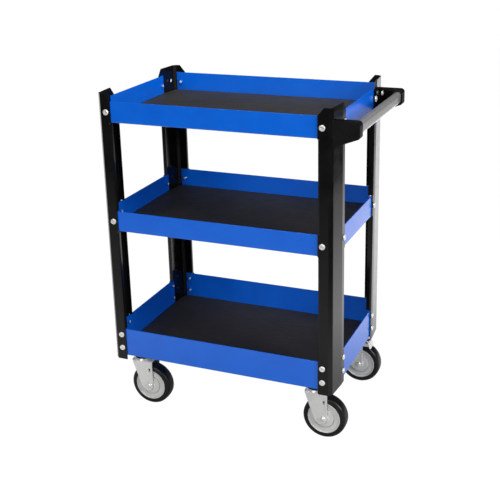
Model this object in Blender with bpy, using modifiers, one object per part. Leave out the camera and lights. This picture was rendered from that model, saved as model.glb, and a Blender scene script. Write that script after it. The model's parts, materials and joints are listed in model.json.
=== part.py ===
"""Three-tray tool cart on four swivel casters.

Metres, +Z up. The cart's width runs along X, with the push handle at +X, and its depth along Y,
with the front at -Y. The origin is on the floor, under the middle of the whole cart's box, so the
trays' middle stands a little towards -X of it: see TRAY_CENTRE_X.
"""

import math

import bmesh
import bpy
from mathutils import Matrix, Vector

# ---------------------------------------------------------------- driving dimensions (metres)
FIT_GAP = 0.0003            # between two pieces that touch

TRAY_WIDTH = 0.672          # X, outside the side walls
TRAY_DEPTH = 0.452          # Y, outside the front and rear walls
TRAY_SHEET = 0.002
TRAY_FOLD_RADIUS = 0.003    # outside radius of the bend between floor and wall
SHALLOW_WALL = 0.059        # height of the top and middle trays, outside
DEEP_WALL = 0.0845          # height of the bottom tray, outside
MIDDLE_TRAY_RISE = 0.387    # underside of the tray, above the underside of the bottom tray
TOP_TRAY_RISE = 0.6998

LINER_THICKNESS = 0.003
LINER_CLEARANCE = 0.0012    # from the liner's edge to the tray walls

POST_SHEET = 0.003
POST_BELOW_TRAY = 0.012     # below the underside of the bottom tray
POST_ABOVE_TRAY = 0.0802    # above the underside of the top tray
POST_BEND_RADIUS = 0.005    # outside radius of every bend
END_FLANGE_REACH = 0.0408   # free edge of the front or rear flange, from the tray's side plane
CORNER_FACE_X = 0.0116      # where the corner face meets that flange, from the tray's side plane
CORNER_FACE_Y = 0.0099      # where it meets the side face, from the flange's outer face
SIDE_FACE_INSET = 0.0052    # how far the side face leans in at the corner, from the side strap
STRAP_BEND = 0.0692         # bend between side face and side strap, from the tray's end plane
STRAP_WIDTH = 0.023         # from that bend to the side strap's free edge
TOP_CUT_WIDTH = 0.0175      # cut-off corner at the top of both free edges
TOP_CUT_DROP = 0.0205
END_RETURN_DEPTH = 0.012    # stiffening return on the flange's free edge, from its outer face
STRAP_RETURN_DEPTH = 0.0145
RETURN_CLEARANCE = 0.003    # from a tray to the end of a return
RETURN_RELIEF = 0.002       # notch between a return and the flat edge beside the tray
CORNER_CLEARANCE = 0.0015   # from a tray's floor and wall ends to the inside of the post

BOLT_RADIUS = 0.004         # tray bolts
BOLT_HEAD_RADIUS = 0.0082
BOLT_HEAD_HEIGHT = 0.0036
BOLT_HOLE_CLEARANCE = 0.0004
BOLT_LENGTH_INSIDE = 0.006  # shank that stands out of the tray wall
END_BOLT_EDGE = 0.0128      # bolt through the end flange, from the flange's free edge
SIDE_BOLT_EDGE = 0.0098     # bolt through the side strap, from the strap's free edge
SHALLOW_BOLT_RISE = 0.0295  # bolt above the underside of a shallow tray
DEEP_LOW_BOLT_RISE = 0.0255
DEEP_HIGH_BOLT_DROP = 0.0177  # upper bolt below the rim of the deep tray

TUBE_WIDTH = 0.020          # X, handle tube
TUBE_HEIGHT = 0.032
TUBE_CORNER_RADIUS = 0.008
TUBE_WALL = 0.002
TUBE_OFFSET = 0.0480        # tube axis, outside the post's side strap
TUBE_RISE = 0.0242          # tube axis, above the underside of the top tray
TUBE_SOCKET_DEPTH = 0.016
BRACKET_SIDE_WALL = 0.0052  # outer edge, outside the tube
BRACKET_OUTER_Y = 0.0038    # outer face, inside the tray's end plane
BRACKET_DEPTH = 0.0255
BRACKET_TOP_WALL = 0.0075   # top edge, above the tube
BRACKET_LOW_WALL = 0.0025   # bottom of the upright outer edge, below the tube
BRACKET_FOOT_DROP = 0.0285  # lowest point, at the post, below that
BRACKET_CORNER_RADIUS = 0.010
BRACKET_LOW_RADIUS = 0.007
BRACKET_WALL = 0.004
HANDLE_BOLT_RADIUS = 0.005
HANDLE_BOLT_HEAD_RADIUS = 0.0078
HANDLE_BOLT_HEAD_HEIGHT = 0.0045
HANDLE_HOLE_CLEARANCE = 0.0006
HANDLE_BOLT_INSET = 0.0205  # from the tray's end plane
HANDLE_BOLT_RISE = 0.0105   # above the tube's axis

CASTER_INSET_X = 0.064      # swivel axis, from the tray's side plane
CASTER_INSET_Y = 0.054      # swivel axis, from the tray's end plane
CASTER_TRAIL = 0.0274       # wheel axle behind the swivel axis
CASTER_PLATE_LENGTH = 0.100
CASTER_PLATE_WIDTH = 0.080
CASTER_PLATE_THICKNESS = 0.003
RACE_HEIGHT = 0.0154        # upper ball race, pressed onto the plate
RACE_RADIUS = 0.027
RACE_NECK_RADIUS = 0.0235
KINGPIN_RADIUS = 0.006
KINGPIN_HEAD_RADIUS = 0.010
KINGPIN_HEAD_HEIGHT = 0.0025
KINGPIN_CLEARANCE = 0.0004
WHEEL_RADIUS = 0.0625
TYRE_WIDTH = 0.039
TYRE_THICKNESS = 0.0155     # from the hub's rim to the tread
TYRE_CROWN = 0.0045         # drop of the tread from its middle to the side wall
HUB_BOSS_RADIUS = 0.013
HUB_BOSS_PROUD = 0.0010     # each end of the boss, past the tyre's side
HUB_DISC_WIDTH = 0.035
HUB_RIM_DEPTH = 0.006       # of the rim that carries the tyre
AXLE_RADIUS = 0.005
AXLE_CLEARANCE = 0.0004
AXLE_HEAD_RADIUS = 0.0085
AXLE_HEAD_HEIGHT = 0.006
FORK_SHEET = 0.0025
FORK_SIDE_CLEARANCE = 0.0005  # hub boss to the inside of a fork arm
FORK_BEND_RADIUS = 0.007
FORK_WHEEL_GAP = 0.014      # from the tread up to the inside of the fork's top
FORK_CROWN_RADIUS = 0.0285  # turned ball track on top of the fork
FORK_CROWN_RISE = 0.0075
FORK_FRONT = 0.0277         # front edge of the fork at its top, ahead of the swivel axis
FORK_REAR = 0.0385          # rear edge, behind the swivel axis
FORK_EYE_RADIUS = 0.0190    # rounded lower end of an arm
FORK_SLOT_WIDTH = 0.006
FORK_SLOT_HEIGHT = 0.0105
FORK_SLOT_RISE = 0.0500     # slot above the wheel's axle
FORK_SLOT_BACK = 0.0016     # slot behind the axle

ROUND_STEPS = 24            # flats round a wheel
SMALL_STEPS = 16            # flats round a ball race
BOLT_STEPS = 10             # flats round a bolt or its hole
BEND_STEPS = 2              # flats round a sheet bend
CORNER_STEPS = 4            # flats round a corner of the bracket or the tube
FORK_STEPS = 3              # flats round a fork's bend
EYE_STEPS = 8               # flats round a fork arm's lower end
SMOOTH_ANGLE = math.radians(35)

# ---------------------------------------------------------------- derived places
HALF_WIDTH = TRAY_WIDTH / 2
HALF_DEPTH = TRAY_DEPTH / 2
WHEEL_Z = WHEEL_RADIUS
TYRE_INNER_RADIUS = WHEEL_RADIUS - TYRE_THICKNESS
HUB_BOSS_WIDTH = TYRE_WIDTH + 2 * HUB_BOSS_PROUD
FORK_HALF_WIDTH = HUB_BOSS_WIDTH / 2 + FORK_SIDE_CLEARANCE + FORK_SHEET
FORK_TOP_Z = 2 * WHEEL_RADIUS + FORK_WHEEL_GAP + FORK_SHEET
FORK_CROWN_TOP_Z = FORK_TOP_Z + FORK_CROWN_RISE
FORK_SLOT_Z = WHEEL_Z + FORK_SLOT_RISE
RACE_LOW_Z = FORK_CROWN_TOP_Z + FIT_GAP
PLATE_TOP_Z = RACE_LOW_Z + RACE_HEIGHT + CASTER_PLATE_THICKNESS
BOTTOM_TRAY_Z = PLATE_TOP_Z + FIT_GAP
MIDDLE_TRAY_Z = BOTTOM_TRAY_Z + MIDDLE_TRAY_RISE
TOP_TRAY_Z = BOTTOM_TRAY_Z + TOP_TRAY_RISE
POST_BOTTOM_Z = BOTTOM_TRAY_Z - POST_BELOW_TRAY
POST_TOP_Z = TOP_TRAY_Z + POST_ABOVE_TRAY
POST_FACE_X = HALF_WIDTH + FIT_GAP + POST_SHEET
POST_FACE_Y = HALF_DEPTH + FIT_GAP + POST_SHEET
STRAP_REACH = STRAP_BEND + STRAP_WIDTH
END_BOLT_INSET = END_FLANGE_REACH - END_BOLT_EDGE
SIDE_BOLT_INSET = STRAP_REACH - SIDE_BOLT_EDGE
DEEP_HIGH_BOLT_RISE = DEEP_WALL - DEEP_HIGH_BOLT_DROP
TUBE_X = POST_FACE_X + TUBE_OFFSET
TUBE_Z = TOP_TRAY_Z + TUBE_RISE
HANDLE_BOLT_Z = TUBE_Z + HANDLE_BOLT_RISE
BRACKET_EDGE_X = TUBE_X + TUBE_WIDTH / 2 + BRACKET_SIDE_WALL
BRACKET_TOP_Z = TUBE_Z + TUBE_HEIGHT / 2 + BRACKET_TOP_WALL
BRACKET_LOW_Z = TUBE_Z - TUBE_HEIGHT / 2 - BRACKET_LOW_WALL
BRACKET_FOOT_Z = BRACKET_LOW_Z - BRACKET_FOOT_DROP
SIDE_HEAD_FACE_X = POST_FACE_X + FIT_GAP + BOLT_HEAD_HEIGHT
TRAY_CENTRE_X = (SIDE_HEAD_FACE_X - BRACKET_EDGE_X) / 2

# name, underside, wall height, bolt rises
TRAYS = (
    ("top", TOP_TRAY_Z, SHALLOW_WALL, (SHALLOW_BOLT_RISE,)),
    ("middle", MIDDLE_TRAY_Z, SHALLOW_WALL, (SHALLOW_BOLT_RISE,)),
    ("bottom", BOTTOM_TRAY_Z, DEEP_WALL, (DEEP_HIGH_BOLT_RISE, DEEP_LOW_BOLT_RISE)),
)
# name, direction along X, direction along Y
CORNERS = (
    ("front_left", -1, -1),
    ("front_right", 1, -1),
    ("rear_left", -1, 1),
    ("rear_right", 1, 1),
)


# ---------------------------------------------------------------- scene and materials
def clear_scene():
    for old in list(bpy.data.objects):
        bpy.data.objects.remove(old, do_unlink=True)


def new_collection(name):
    collection = bpy.data.collections.new(name)
    bpy.context.scene.collection.children.link(collection)
    return collection


def new_material(name, colour, metallic, roughness):
    material = bpy.data.materials.new(name)
    material.use_nodes = True
    shader = material.node_tree.nodes["Principled BSDF"]
    shader.inputs["Base Color"].default_value = (*colour, 1.0)
    shader.inputs["Metallic"].default_value = metallic
    shader.inputs["Roughness"].default_value = roughness
    return material


def at(x, y, z):
    """A place given from the trays' middle, as a world position."""
    return Vector((TRAY_CENTRE_X + x, y, z))


# ---------------------------------------------------------------- shape helpers
def arc(centre, radius, start, end, steps):
    """Points along an arc, its angles in degrees."""
    angles = [math.radians(start + (end - start) * i / steps) for i in range(steps + 1)]
    return [(centre[0] + radius * math.cos(a), centre[1] + radius * math.sin(a)) for a in angles]


def fillet(before, corner, after, radius, steps):
    """Points of the arc that rounds a corner of an outline."""
    corner = Vector(corner)
    one = (Vector(before) - corner).normalized()
    two = (Vector(after) - corner).normalized()
    half_angle = one.angle(two) / 2
    centre = corner + (one + two).normalized() * radius / math.sin(half_angle)
    start = corner + one * radius / math.tan(half_angle) - centre
    end = corner + two * radius / math.tan(half_angle) - centre
    turn = start.angle_signed(end)
    return [tuple(centre + Matrix.Rotation(-turn * i / steps, 2) @ start) for i in range(steps + 1)]


def rounded_path(points, radius, steps):
    """An open path with its inner corners rounded."""
    path = [points[0]]
    for before, corner, after in zip(points, points[1:], points[2:]):
        path += fillet(before, corner, after, radius, steps)
    return path + [points[-1]]


def offset_path(points, distance):
    """An open path moved sideways, to the right of its direction, with mitred corners."""
    points = [Vector(p) for p in points]
    sides = [(b - a).normalized() for a, b in zip(points, points[1:])]
    rights = [Vector((d.y, -d.x)) for d in sides]
    moved = [points[0] + rights[0] * distance]
    for point, one, two in zip(points[1:], rights, rights[1:]):
        mitre = (one + two).normalized()
        moved.append(point + mitre * distance / mitre.dot(one))
    return [tuple(p) for p in moved + [points[-1] + rights[-1] * distance]]


def rounded_rectangle(width, height, radius, steps):
    """Outline of a rectangle round the origin with rounded corners."""
    x = width / 2 - radius
    y = height / 2 - radius
    return (arc((x, y), radius, 0, 90, steps) + arc((-x, y), radius, 90, 180, steps)
            + arc((-x, -y), radius, 180, 270, steps) + arc((x, -y), radius, 270, 360, steps))


def place(name, mesh, material, collection, location=(0, 0, 0), rotation=(0, 0, 0)):
    """Link a mesh as a named object."""
    thing = bpy.data.objects.new(name, mesh)
    thing.location = location
    thing.rotation_euler = rotation
    if material:
        mesh.materials.clear()
        mesh.materials.append(material)
    collection.objects.link(thing)
    return thing


def make_cutter(name, mesh, location=(0, 0, 0), rotation=(0, 0, 0)):
    cutter = place(name, mesh, None, cutters, location, rotation)
    cutter.hide_render = True
    cutter.display_type = "WIRE"
    return cutter


def combine(target, other, operation="DIFFERENCE"):
    step = target.modifiers.new(operation.lower(), "BOOLEAN")
    step.operation = operation
    step.solver = "EXACT"
    step.object = other


def add_thickness(thing, thickness):
    """Give an open sheet its thickness on the inside, the same on flats and bends."""
    sheet = thing.modifiers.new("sheet", "SOLIDIFY")
    sheet.thickness = thickness
    sheet.offset = -1
    sheet.solidify_mode = "NON_MANIFOLD"
    sheet.nonmanifold_thickness_mode = "CONSTRAINTS"
    sheet.nonmanifold_merge_threshold = 0.00001


def outline_mesh(name, outlines, thickness):
    """A flat outline in XY, thick along Z about its middle; further outlines are holes in it."""
    curve = bpy.data.curves.new(name, "CURVE")
    curve.dimensions = "2D"
    curve.fill_mode = "BOTH"
    curve.extrude = thickness / 2
    for outline in outlines:
        spline = curve.splines.new("POLY")
        spline.points.add(len(outline) - 1)
        for point, (x, y) in zip(spline.points, outline):
            point.co = (x, y, 0, 1)
        spline.use_cyclic_u = True
    holder = bpy.data.objects.new(name, curve)
    bpy.context.scene.collection.objects.link(holder)
    graph = bpy.context.evaluated_depsgraph_get()
    mesh = bpy.data.meshes.new_from_object(holder.evaluated_get(graph))
    bpy.data.objects.remove(holder, do_unlink=True)
    bpy.data.curves.remove(curve)
    shape = bmesh.new()
    shape.from_mesh(mesh)
    bmesh.ops.remove_doubles(shape, verts=shape.verts, dist=0.00001)
    bmesh.ops.recalc_face_normals(shape, faces=shape.faces)
    shape.to_mesh(mesh)
    shape.free()
    mesh.shade_smooth()
    mesh.set_sharp_from_angle(angle=SMOOTH_ANGLE)
    return mesh


def profile_mesh(name, profile, closed):
    """A profile of (radius, height) points, ready for a Screw modifier about Z."""
    mesh = bpy.data.meshes.new(name)
    edges = [(i, i + 1) for i in range(len(profile) - 1)]
    if closed:
        edges.append((len(profile) - 1, 0))
    mesh.from_pydata([(radius, 0, height) for radius, height in profile], edges, [])
    return mesh


def add_screw(thing, steps):
    """Turn a profile about its Z axis."""
    screw = thing.modifiers.new("turn", "SCREW")
    screw.axis = "Z"
    screw.steps = steps
    screw.render_steps = steps
    screw.use_merge_vertices = True
    screw.merge_threshold = 0.00005
    screw.use_smooth_shade = True


def turned(name, profile, closed, material, steps, location, rotation=(0, 0, 0)):
    """A turned piece, its profile running down the outer side from top to bottom."""
    thing = place(name, profile_mesh(name, profile, closed), material, cart, location, rotation)
    add_screw(thing, steps)
    return thing


def cylinders_mesh(name, axes, radius, half_length, steps):
    """Separate cylinders, each given by its middle and direction."""
    shape = bmesh.new()
    for middle, direction in axes:
        turn = Vector((0, 0, 1)).rotation_difference(Vector(direction)).to_matrix().to_4x4()
        bmesh.ops.create_cone(shape, cap_ends=True, segments=steps, radius1=radius, radius2=radius,
                              depth=2 * half_length, matrix=Matrix.Translation(middle) @ turn)
    mesh = bpy.data.meshes.new(name)
    shape.to_mesh(mesh)
    shape.free()
    return mesh


# ---------------------------------------------------------------- post and tray outlines
def post_outer_points():
    """Outside of a post's section at the +X +Y corner, from the rear flange to the side strap."""
    return [
        (HALF_WIDTH - END_FLANGE_REACH, POST_FACE_Y),
        (HALF_WIDTH - CORNER_FACE_X, POST_FACE_Y),
        (POST_FACE_X - SIDE_FACE_INSET, POST_FACE_Y - CORNER_FACE_Y),
        (POST_FACE_X, HALF_DEPTH - STRAP_BEND),
        (POST_FACE_X, HALF_DEPTH - STRAP_REACH),
    ]


def return_bays():
    """Lowest and highest point of the returns between each two trays."""
    bays = []
    for (_, low_tray, low_wall, _), (_, high_tray, _, _) in zip(TRAYS[:0:-1], TRAYS[-2::-1]):
        bays.append((low_tray + low_wall + RETURN_CLEARANCE, high_tray - RETURN_CLEARANCE))
    return bays


def post_edges():
    """Each free edge of the section, its flat side first: bend start, corner, and the return's path."""
    points = post_outer_points()
    end_return = (points[0][0], points[0][1] - END_RETURN_DEPTH)
    strap_return = (points[-1][0] - STRAP_RETURN_DEPTH, points[-1][1])
    edges = []
    for inner, corner, tip in ((points[1], points[0], end_return), (points[-2], points[-1], strap_return)):
        bend = fillet(inner, corner, tip, POST_BEND_RADIUS, BEND_STEPS)
        edges.append((bend[0], corner, bend[1:] + [tip]))
    return edges


def post_columns():
    """The rounded section between the two free edges' bends, with the cut-off corners' upper ends."""
    points = post_outer_points()
    (end_bend, _, _), (strap_bend, _, _) = post_edges()
    path = rounded_path([end_bend] + points[1:-1] + [strap_bend], POST_BEND_RADIUS, BEND_STEPS)
    end_cut = (points[0][0] + TOP_CUT_WIDTH, points[0][1])
    strap_cut = (points[-1][0], points[-1][1] + TOP_CUT_WIDTH)
    return [path[0], end_cut] + path[1:-1] + [strap_cut, path[-1]]


def post_top(point):
    """Top of the sheet at a point of the section, lower on the cut-off corners."""
    points = post_outer_points()
    from_edge = min(math.dist(point, points[0]), math.dist(point, points[-1]))
    return POST_TOP_Z - TOP_CUT_DROP * max(0, 1 - from_edge / TOP_CUT_WIDTH)


def tray_corner_points():
    """A tray's +X +Y corner: end of the rear wall, floor corner, end of the side wall."""
    clear = offset_path(post_outer_points(), POST_SHEET + FIT_GAP + CORNER_CLEARANCE)
    return [(clear[1][0], HALF_DEPTH), clear[2], (HALF_WIDTH, clear[3][1])]


def tray_outline():
    """A tray's floor outline, counter-clockwise from the +X +Y corner's side wall."""
    corner = tray_corner_points()
    outline = []
    for sx, sy, points in ((1, 1, corner[::-1]), (-1, 1, corner), (-1, -1, corner[::-1]), (1, -1, corner)):
        outline += [(sx * x, sy * y) for x, y in points]
    return outline


def corner_bolts(corner, rises, underside, sx, sy):
    """Name, place on the tray wall and outward direction of each bolt at one corner of a tray."""
    bolts = []
    for row, rise in enumerate(rises):
        z = underside + rise
        end_place = (sx * (HALF_WIDTH - END_BOLT_INSET), sy * HALF_DEPTH, z)
        side_place = (sx * HALF_WIDTH, sy * (HALF_DEPTH - SIDE_BOLT_INSET), z)
        bolts.append((f"{corner}_end", row, end_place, (0, sy, 0)))
        bolts.append((f"{corner}_side", row, side_place, (sx, 0, 0)))
    return bolts


# ---------------------------------------------------------------- sub-parts
def post_sheet(sx, sy):
    """Open outer surface of a post: its section, its returns and the flat edges beside the trays."""
    shape = bmesh.new()

    def stand(point, z):
        return shape.verts.new((sx * point[0], sy * point[1], z))

    bays = return_bays()
    edge_levels = [POST_BOTTOM_Z]
    for low, high in bays:
        edge_levels += [low - RETURN_RELIEF, low, high, high + RETURN_RELIEF]
    columns = post_columns()
    raised = []
    for i, point in enumerate(columns):
        levels = edge_levels if i in (0, len(columns) - 1) else edge_levels[:1]
        raised.append([stand(point, z) for z in levels + [post_top(point)]])
    for one, two in zip(raised, raised[1:]):
        shape.faces.new(two + one[::-1])
    for (_, corner, bend), column in zip(post_edges(), (raised[0], raised[-1])):
        for i in range(len(bays) + 1):
            low, high = column[4 * i], column[4 * i + 1]
            top = post_top(corner) if i == len(bays) else high.co.z
            shape.faces.new((stand(corner, low.co.z), low, high, stand(corner, top)))
        for i in range(len(bays)):
            low, high = column[4 * i + 2], column[4 * i + 3]
            for point in bend:
                next_low, next_high = stand(point, low.co.z), stand(point, high.co.z)
                shape.faces.new((next_low, low, high, next_high))
                low, high = next_low, next_high
    bmesh.ops.recalc_face_normals(shape, faces=shape.faces)
    flange = next(face for face in shape.faces if raised[0][0] in face.verts and raised[1][0] in face.verts)
    if flange.normal.y * sy < 0:
        bmesh.ops.reverse_faces(shape, faces=shape.faces)
    return shape


def make_post(corner, sx, sy):
    """A folded sheet post: end flange, corner face, leaning side face and side strap."""
    shape = post_sheet(sx, sy)
    mesh = bpy.data.meshes.new(f"post_{corner}")
    shape.to_mesh(mesh)
    shape.free()
    post = place(f"post_{corner}", mesh, black_coat, cart, at(0, 0, 0))
    add_thickness(post, POST_SHEET)
    holes = []
    for _, underside, _, rises in TRAYS:
        holes += [(middle, way) for _, _, middle, way in corner_bolts(corner, rises, underside, sx, sy)]
    drill = cylinders_mesh(f"post_holes_{corner}", holes, BOLT_RADIUS + BOLT_HOLE_CLEARANCE,
                           4 * POST_SHEET, BOLT_STEPS)
    combine(post, make_cutter(f"post_holes_{corner}", drill, at(0, 0, 0)))
    handle_hole = ((sx * POST_FACE_X, sy * (HALF_DEPTH - HANDLE_BOLT_INSET), HANDLE_BOLT_Z), (sx, 0, 0))
    drill = cylinders_mesh(f"handle_hole_{corner}", [handle_hole],
                           HANDLE_BOLT_RADIUS + HANDLE_HOLE_CLEARANCE, 5 * POST_SHEET, BOLT_STEPS)
    combine(post, make_cutter(f"handle_hole_{corner}", drill, at(0, 0, 0)))


def make_tray(name, underside, height, rises):
    """A tray folded from one sheet: notched floor and four walls that stop short of the corners."""
    outline = tray_outline()
    shape = bmesh.new()
    floor = [shape.verts.new((x, y, 0)) for x, y in outline]
    shape.faces.new(floor[::-1])
    folds = []
    for i in range(len(outline)):
        start, end = floor[i], floor[(i + 1) % len(outline)]
        along_wall = math.isclose(start.co.x, end.co.x) or math.isclose(start.co.y, end.co.y)
        if along_wall:
            top_start = shape.verts.new(start.co + Vector((0, 0, height)))
            top_end = shape.verts.new(end.co + Vector((0, 0, height)))
            shape.faces.new((start, end, top_end, top_start))
            folds.append(shape.edges.get((start, end)))
    bmesh.ops.bevel(shape, geom=folds, offset=TRAY_FOLD_RADIUS, segments=BEND_STEPS, profile=0.5,
                    affect="EDGES")
    mesh = bpy.data.meshes.new(f"{name}_tray")
    shape.to_mesh(mesh)
    shape.free()
    tray = place(f"{name}_tray", mesh, blue_coat, cart, at(0, 0, underside))
    add_thickness(tray, TRAY_SHEET)
    holes = []
    for corner, sx, sy in CORNERS:
        holes += [(middle, way) for _, _, middle, way in corner_bolts(corner, rises, 0, sx, sy)]
    drill = cylinders_mesh(f"{name}_tray_holes", holes, BOLT_RADIUS + BOLT_HOLE_CLEARANCE,
                           3 * TRAY_SHEET, BOLT_STEPS)
    combine(tray, make_cutter(f"{name}_tray_holes", drill, at(0, 0, underside)))


def make_liner(name, underside):
    """A mat that fills a tray's floor inside its walls and corner notches."""
    inset = TRAY_SHEET + LINER_CLEARANCE
    outline = [(x - math.copysign(inset, x), y - math.copysign(inset, y)) for x, y in tray_outline()]
    middle_z = underside + TRAY_SHEET + FIT_GAP + LINER_THICKNESS / 2
    place(f"{name}_liner", outline_mesh(f"{name}_liner", [outline], LINER_THICKNESS), mat_foam, cart,
          at(0, 0, middle_z))


def bolt_profile(head_radius, head_height, radius, length):
    """Domed head standing up from z = 0 and a shank below it."""
    return [
        (0, head_height),
        (head_radius * 0.6, head_height * 0.85),
        (head_radius, head_height * 0.25),
        (head_radius, 0),
        (radius, 0),
        (radius, -length),
        (0, -length),
    ]


def make_bolt(name, profile, seat, direction):
    """A bolt whose head sits at the seat and faces along the direction."""
    turn = Vector((0, 0, 1)).rotation_difference(Vector(direction)).to_euler()
    turned(name, profile, False, zinc, BOLT_STEPS, seat, turn)


def make_tray_bolts():
    """The first bolt of every flange and strap at every tray corner."""
    grip = FIT_GAP + POST_SHEET + FIT_GAP + TRAY_SHEET
    profile = bolt_profile(BOLT_HEAD_RADIUS, BOLT_HEAD_HEIGHT, BOLT_RADIUS, grip + BOLT_LENGTH_INSIDE)
    head_lift = 2 * FIT_GAP + POST_SHEET
    for tray, underside, _, rises in TRAYS:
        for corner, sx, sy in CORNERS:
            for where, row, middle, way in corner_bolts(corner, rises, underside, sx, sy):
                if row == 0:
                    seat = at(*(Vector(middle) + head_lift * Vector(way)))
                    make_bolt(f"{tray}_bolt_{where}", profile, seat, way)


def handle_sides():
    return [(corner.split("_")[0], sy) for corner, sx, sy in CORNERS if sx > 0]


def side_face_x(y):
    """Outside of a post's leaning side face at a distance y from the cart's middle."""
    (corner_x, corner_y), (bend_x, bend_y) = post_outer_points()[2:4]
    return bend_x + (corner_x - bend_x) * (y - bend_y) / (corner_y - bend_y)


def bracket_outline():
    """Side view of a handle bracket in X and Z, its back hidden inside the post's space."""
    back_x = HALF_WIDTH - 3 * POST_SHEET
    foot = (back_x, BRACKET_FOOT_Z)
    top_back = (back_x, BRACKET_TOP_Z)
    top_edge = (BRACKET_EDGE_X, BRACKET_TOP_Z)
    low_edge = (BRACKET_EDGE_X, BRACKET_LOW_Z)
    return ([top_back] + fillet(top_back, top_edge, low_edge, BRACKET_CORNER_RADIUS, CORNER_STEPS)
            + fillet(top_edge, low_edge, foot, BRACKET_LOW_RADIUS, CORNER_STEPS) + [foot])


def post_envelope(margin):
    """A post's section grown outwards by a margin and closed through the cart's inside."""
    outside = offset_path(post_outer_points(), -margin)
    inside_x = HALF_WIDTH - 2 * END_FLANGE_REACH
    return outside + [(inside_x, outside[-1][1]), (inside_x, outside[0][1])]


def make_bracket(side, sy):
    """A moulded bracket: upright shell with a tube socket and a bolt pocket, open to the inside."""
    outer_y = HALF_DEPTH - BRACKET_OUTER_Y
    middle_y = outer_y - BRACKET_DEPTH / 2
    upright = (math.radians(90), 0, 0)
    name = f"handle_bracket_{side}"
    mesh = outline_mesh(name, [bracket_outline()], BRACKET_DEPTH)
    bracket = place(name, mesh, black_plastic, cart, at(0, sy * middle_y, 0), upright)
    section = post_envelope(FIT_GAP)
    section = [(x, sy * y) for x, y in section]
    height = BRACKET_TOP_Z - BRACKET_FOOT_Z
    clearance = outline_mesh(f"post_space_{side}", [section], 3 * height)
    combine(bracket, make_cutter(f"post_space_{side}", clearance, at(0, 0, BRACKET_TOP_Z)))
    socket = rounded_rectangle(TUBE_WIDTH + 2 * FIT_GAP, TUBE_HEIGHT + 2 * FIT_GAP,
                               TUBE_CORNER_RADIUS + FIT_GAP, CORNER_STEPS)
    socket_mesh = outline_mesh(f"tube_socket_{side}", [socket], 2 * TUBE_SOCKET_DEPTH)
    inner_y = outer_y - BRACKET_DEPTH
    combine(bracket, make_cutter(f"tube_socket_{side}", socket_mesh,
                                 at(TUBE_X, sy * inner_y, TUBE_Z), upright))
    flange_x = side_face_x(inner_y) + BRACKET_WALL
    pocket_edge = TUBE_X - TUBE_WIDTH / 2 - BRACKET_WALL
    pocket_top = BRACKET_TOP_Z - BRACKET_WALL
    slope = (BRACKET_LOW_Z - BRACKET_FOOT_Z) / (BRACKET_EDGE_X - HALF_WIDTH)
    pocket_low = [BRACKET_FOOT_Z + slope * (x - HALF_WIDTH) + 2 * BRACKET_WALL
                  for x in (flange_x, pocket_edge)]
    pocket = [(flange_x, pocket_top), (pocket_edge, pocket_top), (pocket_edge, pocket_low[1]),
              (flange_x, pocket_low[0])]
    pocket_mesh = outline_mesh(f"bolt_pocket_{side}", [pocket], 2 * (BRACKET_DEPTH - BRACKET_WALL))
    combine(bracket, make_cutter(f"bolt_pocket_{side}", pocket_mesh, at(0, sy * inner_y, 0), upright))
    bolt_y = sy * (HALF_DEPTH - HANDLE_BOLT_INSET)
    drill = cylinders_mesh(f"bracket_hole_{side}", [((flange_x, bolt_y, HANDLE_BOLT_Z), (1, 0, 0))],
                           HANDLE_BOLT_RADIUS + HANDLE_HOLE_CLEARANCE, 2 * BRACKET_WALL, BOLT_STEPS)
    combine(bracket, make_cutter(f"bracket_hole_{side}", drill, at(0, 0, 0)))
    back_of_post = side_face_x(abs(bolt_y)) - POST_SHEET
    length = flange_x + FIT_GAP - back_of_post + BOLT_LENGTH_INSIDE
    profile = bolt_profile(HANDLE_BOLT_HEAD_RADIUS, HANDLE_BOLT_HEAD_HEIGHT, HANDLE_BOLT_RADIUS, length)
    make_bolt(f"handle_bolt_{side}", profile, at(flange_x + FIT_GAP, bolt_y, HANDLE_BOLT_Z), (1, 0, 0))


def make_handle_tube():
    """An oval tube whose ends stand in the brackets' sockets."""
    inner_y = HALF_DEPTH - BRACKET_OUTER_Y - BRACKET_DEPTH
    length = 2 * (inner_y + TUBE_SOCKET_DEPTH - FIT_GAP)
    outside = rounded_rectangle(TUBE_WIDTH, TUBE_HEIGHT, TUBE_CORNER_RADIUS, CORNER_STEPS)
    inside = rounded_rectangle(TUBE_WIDTH - 2 * TUBE_WALL, TUBE_HEIGHT - 2 * TUBE_WALL,
                               TUBE_CORNER_RADIUS - TUBE_WALL, CORNER_STEPS)
    mesh = outline_mesh("handle_tube", [outside, inside], length)
    place("handle_tube", mesh, aluminium, cart, at(TUBE_X, 0, TUBE_Z), (math.radians(90), 0, 0))


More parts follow.
